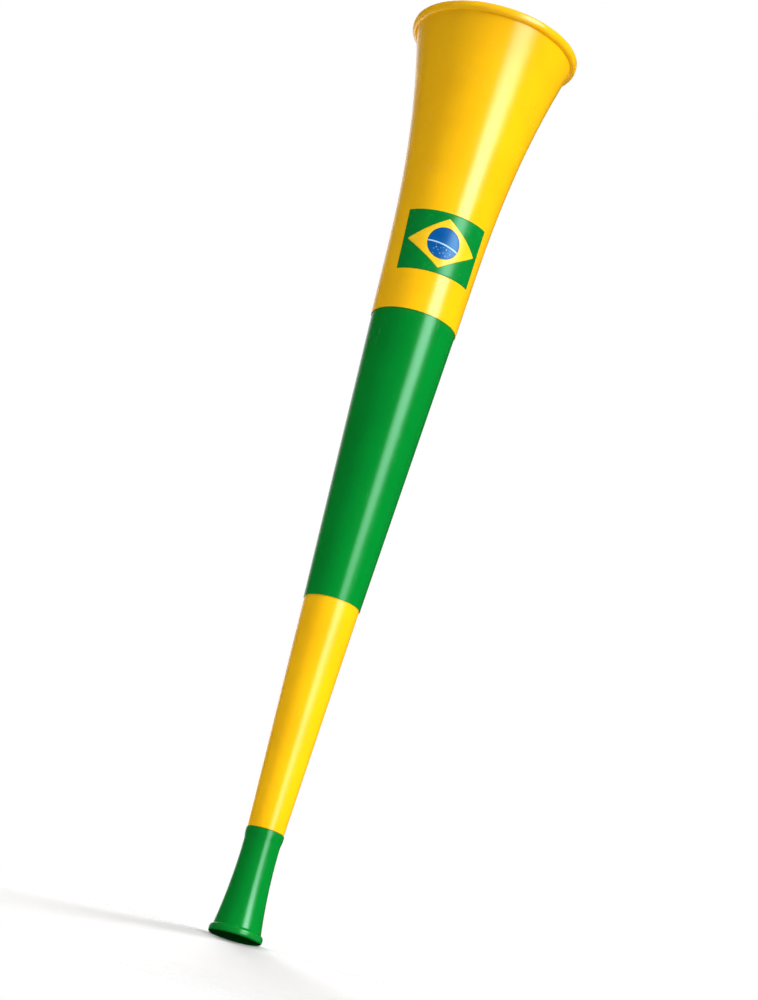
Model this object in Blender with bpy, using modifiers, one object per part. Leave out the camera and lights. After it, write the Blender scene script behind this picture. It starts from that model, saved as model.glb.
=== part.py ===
"""Collapsible stadium horn: mouthpiece, two tapered tube sections and a flared bell.

Run in Blender 4.5. The scene is in metres with +Z up, the outlines below are in millimetres.
The horn stands on its mouthpiece: the origin is the centre of the mouthpiece rim, the axis is +Z.
Each section's wide end reaches up inside the narrow end of the next one, so the sections
telescope into the bell, and the mouthpiece plugs on to the narrow end of the lowest section.
"""
import math

import bpy

MM = 0.001

# Heights along the axis, measured from the mouthpiece rim
SLEEVE_TOP = 67.0
MIDDLE_START = 218.0
BELL_START = 416.0
TOTAL_LENGTH = 621.0

# How far the pieces reach into each other, and the room between them
SEAT_LENGTH = 24.0
SPIGOT_LENGTH = 24.7
SEAT_CLEARANCE = 0.25
END_CLEARANCE = 0.3

# Outer radii of the tapered tubes at the ends that show
LOWER_NARROW_RADIUS = 11.65
LOWER_WIDE_RADIUS = 17.85
MIDDLE_WIDE_RADIUS = 28.05

# Walls: the narrow ends thin down to a lip, so that the steps between sections stay small
WALL = 1.2
LIP_WALL = 0.4
SEAT_TAPER = 0.0125
EDGE_ROUND = 0.15
SOFT_ROUND = 0.4

# Bell: a slow cone from its narrow end, with a flare added from FLARE_START to the mouth
BELL_TAPER = 0.0445
FLARE_START = 451.0
FLARE_GROWTH = 16.5
FLARE_POWER = 2.35
FLARE_STATIONS = 11

# Turned-over lip round the bell's mouth
LIP_RADIUS = 56.4
LIP_HEIGHT = 6.2
LIP_TOP_ROUND = 1.8
LIP_UNDER_ROUND = 2.6
LIP_CREASE = 0.5
MOUTH_ROUND = 0.5

# Mouthpiece: a waisted sleeve that flares down to a rim flange
COLLAR_RADIUS = 12.1
COLLAR_HEIGHT = 3.0
COLLAR_BLEND = 4.0
COLLAR_ROUND = 10.0
WAIST_RADIUS = 11.45
WAIST_HEIGHT = 57.0
WAIST_GROWTH = 3.75
WAIST_POWER = 2.0
WAIST_STATIONS = 5
FLANGE_RADIUS = 16.95
FLANGE_HEIGHT = 5.3
FLANGE_SLOPE = 1.4
FLANGE_ROUND = 2.0
RIM_OUTER_ROUND = 1.5
RIM_INNER_ROUND = 0.9

# Inside the mouthpiece: bowl-shaped cup, throat, backbore and socket
CUP_RADIUS = 13.4
CUP_DEPTH = 24.0
CUP_STATIONS = 7
THROAT_RADIUS = 5.5
THROAT_END = 28.0
THROAT_ROUND = 1.0
BACKBORE_RADIUS = 8.3

# Spigot under the lowest section
SPIGOT_RADIUS = 10.1
SPIGOT_BORE_RADIUS = 8.7
BORE_WIDENING = 10.0

# Turning
SEGMENTS = 52
ROUND_STEP = math.radians(30)
MERGE_DISTANCE = 0.00001

GREEN = (0.000, 0.305, 0.040, 1.0)
YELLOW = (0.956, 0.597, 0.004, 1.0)
ROUGHNESS = 0.22


def clear_scene():
    """Remove every object that the file opened with."""
    for item in list(bpy.data.objects):
        bpy.data.objects.remove(item, do_unlink=True)


def new_collection(name):
    """Make a collection and link it to the scene."""
    collection = bpy.data.collections.new(name)
    bpy.context.scene.collection.children.link(collection)
    return collection


def plastic(name, colour):
    """Glossy moulded plastic of one colour."""
    material = bpy.data.materials.new(name)
    material.use_nodes = True
    shader = material.node_tree.nodes["Principled BSDF"]
    shader.inputs["Base Color"].default_value = colour
    shader.inputs["Roughness"].default_value = ROUGHNESS
    shader.inputs["Metallic"].default_value = 0.0
    material.diffuse_color = colour
    return material


def between(low, high, count):
    """Heights evenly spaced between two ends, both ends left out."""
    return [low + (high - low) * step / (count + 1) for step in range(1, count + 1)]


def corner_arc(before, corner, after, radius):
    """Points of the round that replaces one corner of an outline."""
    to_before = (before[0] - corner[0], before[1] - corner[1])
    to_after = (after[0] - corner[0], after[1] - corner[1])
    start = math.atan2(to_before[1], to_before[0])
    turn = math.atan2(to_after[1], to_after[0]) - start
    turn = math.atan2(math.sin(turn), math.cos(turn))
    reach = radius / math.tan(abs(turn) / 2)
    bisector = start + turn / 2
    centre_distance = math.hypot(radius, reach)
    centre = (corner[0] + centre_distance * math.cos(bisector),
              corner[1] + centre_distance * math.sin(bisector))
    sweep = math.pi - abs(turn)
    steps = max(1, round(sweep / ROUND_STEP))
    middle = bisector + math.pi
    side = -1 if turn > 0 else 1
    angles = [middle + side * sweep * (step / steps - 0.5) for step in range(steps + 1)]
    return [(centre[0] + radius * math.cos(angle), centre[1] + radius * math.sin(angle))
            for angle in angles]


def rounded(corners):
    """Outline points from (radius, height, round) corners, where a round of 0 stays a corner."""
    points = []
    for index, (radius, height, size) in enumerate(corners):
        before = corners[index - 1]
        after = corners[(index + 1) % len(corners)]
        if size:
            points += corner_arc(before, (radius, height), after, size)
        else:
            points.append((radius, height))
    return points


def turned(name, corners, material, collection):
    """Turn a closed outline round the Z axis, with the object's origin at its lower end."""
    outline = rounded(corners)
    base = min(height for _, height in outline)
    vertices = [(radius * MM, 0.0, (height - base) * MM) for radius, height in outline]
    edges = [(index, (index + 1) % len(vertices)) for index in range(len(vertices))]
    mesh = bpy.data.meshes.new(name)
    mesh.from_pydata(vertices, edges, [])
    piece = bpy.data.objects.new(name, mesh)
    piece.location.z = base * MM
    collection.objects.link(piece)
    screw = piece.modifiers.new("turn", "SCREW")
    screw.axis = "Z"
    screw.angle = math.tau
    screw.steps = SEGMENTS
    screw.render_steps = SEGMENTS
    screw.use_merge_vertices = True
    screw.merge_threshold = MERGE_DISTANCE
    screw.use_smooth_shade = True
    mesh.materials.append(material)
    return piece


def seat_widening():
    """How much a seat's radius grows over its length."""
    return SEAT_TAPER * SEAT_LENGTH


def narrow_bore(inner_wide_radius):
    """Bore radius of a section's narrow end, which goes round the wide end below it."""
    return inner_wide_radius + SEAT_CLEARANCE


def bell_radius(height):
    """Outer radius of the bell's wall at a height."""
    narrow = narrow_bore(MIDDLE_WIDE_RADIUS) + LIP_WALL
    cone = narrow + BELL_TAPER * (height - BELL_START)
    share = max(0.0, (height - FLARE_START) / (TOTAL_LENGTH - FLARE_START))
    return cone + FLARE_GROWTH * share ** FLARE_POWER


def make_bell(material, collection):
    """Flared bell with its turned-over lip and thin-lipped narrow end."""
    seat_end = BELL_START + SEAT_LENGTH
    lip_under = TOTAL_LENGTH - LIP_HEIGHT
    crease = lip_under + LIP_CREASE
    bore = narrow_bore(MIDDLE_WIDE_RADIUS)
    stations = between(seat_end, lip_under, FLARE_STATIONS)
    corners = [(LIP_RADIUS, TOTAL_LENGTH, LIP_TOP_ROUND),
               (LIP_RADIUS, lip_under, LIP_UNDER_ROUND),
               (bell_radius(crease), crease, 0)]
    corners += [(bell_radius(height), height, 0) for height in reversed(stations)]
    corners += [(bell_radius(seat_end), seat_end, 0),
                (bell_radius(BELL_START), BELL_START, EDGE_ROUND),
                (bore, BELL_START, EDGE_ROUND),
                (bore + seat_widening(), seat_end, 0)]
    corners += [(bell_radius(height) - WALL, height, 0) for height in stations]
    corners += [(bell_radius(lip_under) - WALL, lip_under, 0),
                (bell_radius(TOTAL_LENGTH) - WALL, TOTAL_LENGTH, MOUTH_ROUND)]
    return turned("bell", corners, material, collection)


def make_middle_section(material, collection):
    """Upper tube: thin-lipped narrow end below, seat for the bell above."""
    seat_end = MIDDLE_START + SEAT_LENGTH
    top = BELL_START + SEAT_LENGTH
    bore = narrow_bore(LOWER_WIDE_RADIUS)
    wide_end = MIDDLE_WIDE_RADIUS + seat_widening()
    corners = [(wide_end, top, EDGE_ROUND),
               (MIDDLE_WIDE_RADIUS, BELL_START, 0),
               (bore + LIP_WALL, MIDDLE_START, EDGE_ROUND),
               (bore, MIDDLE_START, EDGE_ROUND),
               (bore + seat_widening(), seat_end, 0),
               (MIDDLE_WIDE_RADIUS - WALL, BELL_START, 0),
               (wide_end - WALL, top, EDGE_ROUND)]
    return turned("middle_section", corners, material, collection)


def lower_radius(height):
    """Outer radius of the lower tube at a height."""
    share = (height - SLEEVE_TOP) / (MIDDLE_START - SLEEVE_TOP)
    return LOWER_NARROW_RADIUS + (LOWER_WIDE_RADIUS - LOWER_NARROW_RADIUS) * share


def make_lower_section(material, collection):
    """Lower tube: spigot for the mouthpiece below, seat for the middle section above."""
    top = MIDDLE_START + SEAT_LENGTH
    shoulder = SLEEVE_TOP + END_CLEARANCE
    foot = shoulder - SPIGOT_LENGTH
    wide_end = LOWER_WIDE_RADIUS + seat_widening()
    full_bore = shoulder + BORE_WIDENING
    foot_radius = SPIGOT_RADIUS - SEAT_TAPER * SPIGOT_LENGTH
    corners = [(wide_end, top, EDGE_ROUND),
               (LOWER_WIDE_RADIUS, MIDDLE_START, 0),
               (LOWER_NARROW_RADIUS, shoulder, EDGE_ROUND),
               (SPIGOT_RADIUS, shoulder, 0),
               (foot_radius, foot, EDGE_ROUND),
               (BACKBORE_RADIUS, foot, EDGE_ROUND),
               (SPIGOT_BORE_RADIUS, shoulder, 0),
               (lower_radius(full_bore) - WALL, full_bore, 0),
               (LOWER_WIDE_RADIUS - WALL, MIDDLE_START, 0),
               (wide_end - WALL, top, EDGE_ROUND)]
    return turned("lower_section", corners, material, collection)


def waist_radius(height):
    """Outer radius of the mouthpiece between its collar and its flange."""
    share = max(0.0, (WAIST_HEIGHT - height) / (WAIST_HEIGHT - FLANGE_HEIGHT))
    return WAIST_RADIUS + WAIST_GROWTH * share ** WAIST_POWER


def cup_radius(height):
    """Radius of the bowl-shaped cup, from its rim at height 0 to the throat."""
    return THROAT_RADIUS + (CUP_RADIUS - THROAT_RADIUS) * math.sqrt(1 - (height / CUP_DEPTH) ** 2)


def make_mouthpiece(material, collection):
    """Mouthpiece with its rim flange, cup, throat and the socket that takes the spigot."""
    collar_foot = SLEEVE_TOP - COLLAR_HEIGHT
    socket_floor = SLEEVE_TOP - SPIGOT_LENGTH
    socket_top = SPIGOT_RADIUS + SEAT_CLEARANCE
    socket_foot = socket_top - SEAT_TAPER * SPIGOT_LENGTH
    waist = between(FLANGE_HEIGHT, WAIST_HEIGHT, WAIST_STATIONS)
    cup = [CUP_DEPTH * math.sin(math.pi / 2 * step / CUP_STATIONS)
           for step in range(1, CUP_STATIONS)]
    corners = [(COLLAR_RADIUS, SLEEVE_TOP, SOFT_ROUND),
               (COLLAR_RADIUS, collar_foot, COLLAR_ROUND),
               (WAIST_RADIUS, collar_foot - COLLAR_BLEND, COLLAR_ROUND),
               (WAIST_RADIUS, WAIST_HEIGHT, 0)]
    corners += [(waist_radius(height), height, 0) for height in reversed(waist)]
    corners += [(waist_radius(FLANGE_HEIGHT), FLANGE_HEIGHT, SOFT_ROUND),
                (FLANGE_RADIUS, FLANGE_HEIGHT - FLANGE_SLOPE, FLANGE_ROUND),
                (FLANGE_RADIUS, 0, RIM_OUTER_ROUND),
                (CUP_RADIUS, 0, RIM_INNER_ROUND)]
    corners += [(cup_radius(height), height, 0) for height in cup]
    corners += [(THROAT_RADIUS, CUP_DEPTH, THROAT_ROUND),
                (THROAT_RADIUS, THROAT_END, THROAT_ROUND),
                (BACKBORE_RADIUS, socket_floor, EDGE_ROUND),
                (socket_foot, socket_floor, EDGE_ROUND),
                (socket_top, SLEEVE_TOP, EDGE_ROUND)]
    return turned("mouthpiece", corners, material, collection)


def build():
    """Make the four pieces of the horn."""
    clear_scene()
    collection = new_collection("stadium_horn")
    make_mouthpiece(plastic("green_mouthpiece", GREEN), collection)
    make_lower_section(plastic("yellow_lower_section", YELLOW), collection)
    make_middle_section(plastic("green_middle_section", GREEN), collection)
    make_bell(plastic("yellow_bell", YELLOW), collection)


build()
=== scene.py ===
"""Looks of the collapsible stadium horn: moulded walls, printed flag, studio and camera.

Runs in Blender 4.5 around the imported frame. Outlines are in millimetres, the scene in metres.
The horn stands on its mouthpiece: the axis is +Z and the printed flag faces -Y.
"""

import math

import bpy
from mathutils import Matrix, Vector


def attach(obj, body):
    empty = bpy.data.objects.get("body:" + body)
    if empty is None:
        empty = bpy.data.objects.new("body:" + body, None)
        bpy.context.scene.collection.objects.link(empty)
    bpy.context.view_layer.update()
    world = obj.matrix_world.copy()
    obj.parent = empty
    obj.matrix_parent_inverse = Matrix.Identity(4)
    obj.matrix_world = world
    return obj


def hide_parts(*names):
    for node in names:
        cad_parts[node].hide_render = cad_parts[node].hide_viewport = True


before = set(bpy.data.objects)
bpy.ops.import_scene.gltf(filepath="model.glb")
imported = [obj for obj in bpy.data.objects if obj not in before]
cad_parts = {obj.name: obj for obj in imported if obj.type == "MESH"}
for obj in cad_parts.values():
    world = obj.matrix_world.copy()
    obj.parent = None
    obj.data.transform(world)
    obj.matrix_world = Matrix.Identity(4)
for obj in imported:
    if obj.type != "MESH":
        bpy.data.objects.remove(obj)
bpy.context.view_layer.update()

MM = 0.001

# Heights along the axis, measured from the mouthpiece rim. The two joints above the mouthpiece
# are where the photograph has them, 1.4 and 5 mm below the solids' own.
SLEEVE_TOP = 67.0
MIDDLE_START = 216.6
BELL_START = 411.0
TOTAL_LENGTH = 621.0

# How far the pieces reach into each other, and the room between them
SEAT_LENGTH = 24.0
SPIGOT_LENGTH = 24.7
SEAT_CLEARANCE = 0.12
END_CLEARANCE = 0.3

# Tubes: outer radii at the ends that show, and walls
LOWER_NARROW_RADIUS = 11.65
LOWER_WIDE_RADIUS = 17.8
MIDDLE_WIDE_RADIUS = 27.85
WALL = 1.2
LIP_WALL = 0.4
SEAT_TAPER = 0.0125
EDGE_ROUND = 0.15
SOFT_ROUND = 0.4

# Bell: a slow cone, a flare added to it, and the turned-over lip
BELL_TAPER = 0.0455
FLARE_START = 451.0
FLARE_GROWTH = 16.5
FLARE_POWER = 2.35
LIP_RADIUS = 56.4
LIP_HEIGHT = 6.2
LIP_TOP_ROUND = 1.8
LIP_UNDER_ROUND = 2.6
LIP_CREASE = 0.5
MOUTH_ROUND = 0.5

# Mouthpiece: waisted sleeve, rim flange, cup, throat and socket
COLLAR_RADIUS = 12.1
COLLAR_HEIGHT = 3.0
COLLAR_BLEND = 4.0
COLLAR_ROUND = 10.0
WAIST_RADIUS = 11.45
WAIST_HEIGHT = 57.0
WAIST_GROWTH = 3.75
WAIST_POWER = 2.0
FLANGE_RADIUS = 16.95
FLANGE_HEIGHT = 5.3
FLANGE_SLOPE = 1.4
FLANGE_ROUND = 2.0
RIM_OUTER_ROUND = 1.5
RIM_INNER_ROUND = 0.9
CUP_RADIUS = 13.4
CUP_DEPTH = 24.0
THROAT_RADIUS = 5.5
THROAT_END = 28.0
THROAT_ROUND = 1.0
BACKBORE_RADIUS = 8.3
SPIGOT_RADIUS = 10.1
SPIGOT_BORE_RADIUS = 8.7
BORE_WIDENING = 10.0

# How finely the walls are turned; points closer than the merge distance, in metres, become one
ROUND_STEP = math.radians(9)
FEWEST_ROUND_STEPS = 3
TUBE_SEGMENTS = 192
BELL_SEGMENTS = 256
FLARE_STATIONS = 90
WAIST_STATIONS = 40
CUP_STATIONS = 40
TUBE_STATIONS = 30
SHARP_ANGLE = math.radians(35)
WALL_MERGE_DISTANCE = 0.000004

# Printed flag, in millimetres along the bell's surface. The lift is the gap between the wall
# and the first layer of ink.
FLAG_HEIGHT = 459.6
FLAG_TILT = math.radians(1.8)
FLAG_HALF_WIDTH = 28.3
FLAG_HALF_HEIGHT = 20.8
RHOMBUS_HALF_WIDTH = 24.8
RHOMBUS_HALF_HEIGHT = 17.0
DISC_RADIUS = 10.8
BAND_RADIUS = 60.0
BAND_WIDTH = 1.0
BAND_DROP = 60.7
BAND_LEAN = math.radians(8.7)
INK_THICKNESS = 0.035
INK_LIFT = 0.02

# How finely the print's shapes are divided, across and up
FIELD_STEPS = (72, 48)
RHOMBUS_STEPS = 48
DISC_STEPS = 40
BAND_STEPS = (48, 4)
INK_MERGE_DISTANCE = 0.000002

# Stars: size and spacing in millimetres, how much smaller or larger one may be, and how many
# there are for a square metre. The patch that they lie on is in shares of the disc's radius.
STAR_POINTS = 5
STAR_SIZE = 0.42
STAR_INNER_SHARE = 0.42
SMALLEST_STAR = 0.65
LARGEST_STAR = 1.3
STAR_SPACING = 1.7
STAR_DENSITY = 600000.0
STAR_SEED = 11
STAR_PATCH_LEFT = -0.55
STAR_PATCH_WIDTH = 1.1
STAR_PATCH_FOOT = -0.78
STAR_PATCH_HEIGHT = 0.62
STAR_PATCH_STEPS = (12, 8)

# Colours, as linear values; a gloss tints what a surface mirrors
GREEN = (0.000, 0.225, 0.023, 1.0)
YELLOW = (1.000, 0.520, 0.003, 1.0)
FLAG_GREEN = (0.000, 0.220, 0.028, 1.0)
FLAG_YELLOW = (1.000, 0.580, 0.012, 1.0)
FLAG_BLUE = (0.001, 0.085, 0.320, 1.0)
FLAG_WHITE = (0.380, 0.600, 0.820, 1.0)
GREEN_GLOSS = (0.620, 1.000, 0.880, 1.0)
BLUE_GLOSS = (0.500, 0.900, 1.000, 1.0)
WHITE = (1.0, 1.0, 1.0, 1.0)
BLACK = (0.0, 0.0, 0.0, 1.0)

# Indices of refraction, which set how strongly the plastics and the ink mirror
MOUTHPIECE_IOR = 1.64
TUBE_IOR = 1.49
INK_IOR = 1.45

# Marks in the plastic, and how much they change. A noise is (scale, detail), a bump is (depth
# in metres, strength), and greys are the part of a noise's range in which a mark sets in. The
# parting line's half width is given in metres where it is full and where it has faded out.
MIDDLE_GREYS = (0.3, 0.7)
CLOUD_NOISE = (22.0, 3.0)
CLOUD_SHADES = (0.95, 1.05)
STREAK_STRETCH = (420.0, 420.0, 9.0)
STREAK_NOISE = (1.0, 3.0)
STREAK_SHADE = 0.86
STREAK_SHARE = 0.12
STREAK_GREYS = (0.25, 0.75)
STREAK_BUMP = (0.00003, 0.5)
PEEL_NOISE = (620.0, 1.5)
PEEL_BUMP = (0.000012, 0.4)
SCRATCH_STRETCH = (1500.0, 1500.0, 60.0)
SCRATCH_NOISE = (1.0, 1.0)
SCRATCH_GREYS = (0.64, 0.70)
SCRATCH_SHARE = 0.06
SCRATCH_BUMP = (0.00001, 0.5)
SCUFF_NOISE = (38.0, 2.0)
SCUFF_GREYS = (0.52, 0.66)
SCUFF_TINT = 0.75
SCUFF_PALENESS = 0.2
RUB_NOISE = (120.0, 3.0)
RUB_GREYS = (0.35, 0.70)
LEAST_RUB = 0.2
RUB_SHARE = 0.02
PARTING_WIDTH = (0.00005, 0.0002)
PARTING_BUMP = (0.00004, 0.6)
PLASTIC_ROUGHNESS = (0.15, 0.19)
SCRATCH_ROUGHNESS = 0.16
RUB_ROUGHNESS = 0.03

# How far in from their widest ring, in metres, the pieces are rubbed
FLANGE_RUB = 0.0009
TUBE_RUB = 0.0003
LIP_RUB = 0.0008

# Marks in the ink
COVER_NOISE = (160.0, 4.0)
COVER_SHADES = (0.94, 1.06)
COVER_BUMP = (0.00001, 0.3)
PINHOLE_NOISE = (2600.0, 1.0)
PINHOLE_GREYS = (0.66, 0.74)
PINHOLE_SHADE = 0.8
PINHOLE_SHARE = 0.25
PINHOLE_BUMP = (0.000006, 0.5)
INK_ROUGHNESS = (0.22, 0.28)

# Wall lights: levels at which a written colour renders about as written. Azimuths are in
# degrees from the camera's side.
WORLD_LIGHT = 0.36
KEY_LIGHT = 1.00
BACK_LIGHT = 0.40
TOP_LIGHT = 0.40
KEY_AZIMUTH = 54.0
BACK_AZIMUTH = 200.0
TOP_AZIMUTH = -14.0
SIDE_ELEVATION = math.radians(16)
TOP_ELEVATION = math.radians(62)
SIDE_SPREAD = math.radians(22)
TOP_SPREAD = math.radians(24)
LAMP_DISTANCE = 3.0
LIGHT_AIM = (0.0, 0.0, 0.45)

# Highlight strips. The low and high parts are (middle, half width, brightness), in shares of
# the strip's width, and pass into each other between two shares of its length.
STRIP_DISTANCE = 1.7
STRIP_LENGTH = 3.0
STRIP_WIDTH = 2.0
STRIP_EDGE = (0.3, 1.15)
FRONT_STRIP_AZIMUTH = 35.0
FRONT_STRIP_RADIANCE = 10.5
FRONT_STRIP_CHANGE = (0.48, 0.70)
FRONT_STRIP_LOW = (0.44, 0.26, 0.42)
FRONT_STRIP_HIGH = (0.58, 0.28, 1.0)
BACK_STRIP_AZIMUTH = 197.0
BACK_STRIP_RADIANCE = 4.5
BACK_STRIP_CHANGE = (0.48, 0.56)
BACK_STRIP_LOW = (0.5, 0.23, 0.45)
BACK_STRIP_HIGH = (0.5, 0.23, 0.12)

# Backdrop, as the gloss mirrors it: its edges are a cosine from its middle and a height
ROOM_IN_GLOSS = 0.02
BACKDROP_IN_GLOSS = 0.36
BACKDROP_AZIMUTH = 197.0
BACKDROP_EDGE = (0.75, 0.98)
BACKDROP_FOOT = (-0.06, 0.04)

# Floor, in metres, except for the ring on which the mouthpiece stands. The tone is for light,
# and the seen level is for the camera, where 1 is white.
FLOOR_RADIUS = 2.6
FLOOR_SIDES = 96
FLOOR_FADE = (0.6 * FLOOR_RADIUS, 0.98 * FLOOR_RADIUS)
FLOOR_DEPTH = 0.00005
FLOOR_TONE = 0.78
FLOOR_SEEN = 1.04
SHADOW_REACH = 0.34
SHADOW_FADE_START = 0.4 * SHADOW_REACH
SIDEWAYS_FADE = 0.4
RIM_FOOT_RADIUS = FLANGE_RADIUS - RIM_OUTER_ROUND + 0.1
# Painted shadow: within this reach of the axis the plastic's gloss sees the floor as black
PAINTED_GLOSS_SHADOW_REACH = 0.024
OPENING_LIGHT = 0.3
# Painted contact shadow: black is mixed into the floor's underside next to the foot's ring, fading
# out by this reach
PAINTED_CONTACT_REACH = 0.03
PAINTED_CONTACT_SHADE = 0.35

# Camera of the photograph, in the horn's frame
CAMERA_LENS = 101.88
CAMERA_DISTANCE = 1.7074
CAMERA_HEIGHT = -0.2536
CAMERA_AZIMUTH = math.radians(-7.54)
CAMERA_PITCH = math.radians(17.7)
CAMERA_YAW = math.radians(0.325)
CAMERA_ROLL = math.radians(16.3)
CAMERA_NEAR = 0.01
CAMERA_FAR = 50.0


# Outlines

def between(low, high, count):
    """Heights evenly spaced between two ends, both ends left out."""
    return [low + (high - low) * step / (count + 1) for step in range(1, count + 1)]


def corner_arc(before, corner, after, radius):
    """Points of the round that replaces one corner of an outline."""
    to_before = (before[0] - corner[0], before[1] - corner[1])
    to_after = (after[0] - corner[0], after[1] - corner[1])
    start = math.atan2(to_before[1], to_before[0])
    turn = math.atan2(to_after[1], to_after[0]) - start
    turn = math.atan2(math.sin(turn), math.cos(turn))
    reach = radius / math.tan(abs(turn) / 2)
    bisector = start + turn / 2
    centre_distance = math.hypot(radius, reach)
    centre = (corner[0] + centre_distance * math.cos(bisector),
              corner[1] + centre_distance * math.sin(bisector))
    sweep = math.pi - abs(turn)
    steps = max(FEWEST_ROUND_STEPS, round(sweep / ROUND_STEP))
    middle = bisector + math.pi
    side = -1 if turn > 0 else 1
    angles = [middle + side * sweep * (step / steps - 0.5) for step in range(steps + 1)]
    return [(centre[0] + radius * math.cos(angle), centre[1] + radius * math.sin(angle))
            for angle in angles]


def rounded(corners):
    """Outline points from (radius, height, round) corners, where a round of 0 stays a corner."""
    points = []
    for index, (radius, height, size) in enumerate(corners):
        before = corners[index - 1]
        after = corners[(index + 1) % len(corners)]
        if size:
            points += corner_arc(before, (radius, height), after, size)
        else:
            points.append((radius, height))
    return points


def seat_widening():
    """How much a seat's radius grows over its length."""
    return SEAT_TAPER * SEAT_LENGTH


def narrow_bore(inner_wide_radius):
    """Bore radius of a section's narrow end, which goes round the wide end below it."""
    return inner_wide_radius + SEAT_CLEARANCE


def straight(start, end):
    """Corners along a straight wall, both ends left out."""
    heights = between(start[1], end[1], TUBE_STATIONS)
    return [(start[0] + (end[0] - start[0]) * (height - start[1]) / (end[1] - start[1]), height, 0)
            for height in heights]


def bell_foot_radius():
    """Outer radius of the bell's narrow end."""
    return narrow_bore(MIDDLE_WIDE_RADIUS) + LIP_WALL


def bell_radius(height):
    """Outer radius of the bell's wall at a height."""
    cone = bell_foot_radius() + BELL_TAPER * (height - BELL_START)
    share = max(0.0, (height - FLARE_START) / (TOTAL_LENGTH - FLARE_START))
    return cone + FLARE_GROWTH * share ** FLARE_POWER


def bell_outline():
    """Flared bell with its turned-over lip and thin-lipped narrow end."""
    seat_end = BELL_START + SEAT_LENGTH
    lip_under = TOTAL_LENGTH - LIP_HEIGHT
    crease = lip_under + LIP_CREASE
    bore = narrow_bore(MIDDLE_WIDE_RADIUS)
    stations = between(seat_end, lip_under, FLARE_STATIONS)
    corners = [(LIP_RADIUS, TOTAL_LENGTH, LIP_TOP_ROUND),
               (LIP_RADIUS, lip_under, LIP_UNDER_ROUND),
               (bell_radius(crease), crease, 0)]
    corners += [(bell_radius(height), height, 0) for height in reversed(stations)]
    corners += [(bell_radius(seat_end), seat_end, 0),
                (bell_radius(BELL_START), BELL_START, EDGE_ROUND),
                (bore, BELL_START, EDGE_ROUND),
                (bore + seat_widening(), seat_end, 0)]
    corners += [(bell_radius(height) - WALL, height, 0) for height in stations]
    corners += [(bell_radius(lip_under) - WALL, lip_under, 0),
                (bell_radius(TOTAL_LENGTH) - WALL, TOTAL_LENGTH, MOUTH_ROUND)]
    return corners


def middle_outline():
    """Upper tube: thin-lipped narrow end below, seat for the bell above."""
    seat_end = MIDDLE_START + SEAT_LENGTH
    top = BELL_START + SEAT_LENGTH
    bore = narrow_bore(LOWER_WIDE_RADIUS)
    wide_end = MIDDLE_WIDE_RADIUS + seat_widening()
    shoulder = (MIDDLE_WIDE_RADIUS, BELL_START, 0)
    foot = (bore + LIP_WALL, MIDDLE_START, EDGE_ROUND)
    inner_foot = (bore + seat_widening(), seat_end, 0)
    inner_top = (MIDDLE_WIDE_RADIUS - WALL, BELL_START, 0)
    return ([(wide_end, top, EDGE_ROUND), shoulder] + straight(shoulder, foot)
            + [foot, (bore, MIDDLE_START, EDGE_ROUND), inner_foot]
            + straight(inner_foot, inner_top) + [inner_top, (wide_end - WALL, top, EDGE_ROUND)])


def lower_radius(height):
    """Outer radius of the lower tube at a height."""
    share = (height - SLEEVE_TOP) / (MIDDLE_START - SLEEVE_TOP)
    return LOWER_NARROW_RADIUS + (LOWER_WIDE_RADIUS - LOWER_NARROW_RADIUS) * share


def lower_outline():
    """Lower tube: spigot for the mouthpiece below, seat for the middle section above."""
    top = MIDDLE_START + SEAT_LENGTH
    shoulder = SLEEVE_TOP + END_CLEARANCE
    foot = shoulder - SPIGOT_LENGTH
    wide_end = LOWER_WIDE_RADIUS + seat_widening()
    full_bore = shoulder + BORE_WIDENING
    foot_radius = SPIGOT_RADIUS - SEAT_TAPER * SPIGOT_LENGTH
    seat = (LOWER_WIDE_RADIUS, MIDDLE_START, 0)
    narrow = (LOWER_NARROW_RADIUS, shoulder, EDGE_ROUND)
    inner_foot = (lower_radius(full_bore) - WALL, full_bore, 0)
    inner_top = (LOWER_WIDE_RADIUS - WALL, MIDDLE_START, 0)
    return ([(wide_end, top, EDGE_ROUND), seat] + straight(seat, narrow)
            + [narrow, (SPIGOT_RADIUS, shoulder, 0), (foot_radius, foot, EDGE_ROUND),
               (BACKBORE_RADIUS, foot, EDGE_ROUND), (SPIGOT_BORE_RADIUS, shoulder, 0), inner_foot]
            + straight(inner_foot, inner_top) + [inner_top, (wide_end - WALL, top, EDGE_ROUND)])


def waist_radius(height):
    """Outer radius of the mouthpiece between its collar and its flange."""
    share = max(0.0, (WAIST_HEIGHT - height) / (WAIST_HEIGHT - FLANGE_HEIGHT))
    return WAIST_RADIUS + WAIST_GROWTH * share ** WAIST_POWER


def cup_radius(height):
    """Radius of the bowl-shaped cup, from its rim at height 0 to the throat."""
    return THROAT_RADIUS + (CUP_RADIUS - THROAT_RADIUS) * math.sqrt(1 - (height / CUP_DEPTH) ** 2)


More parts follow.
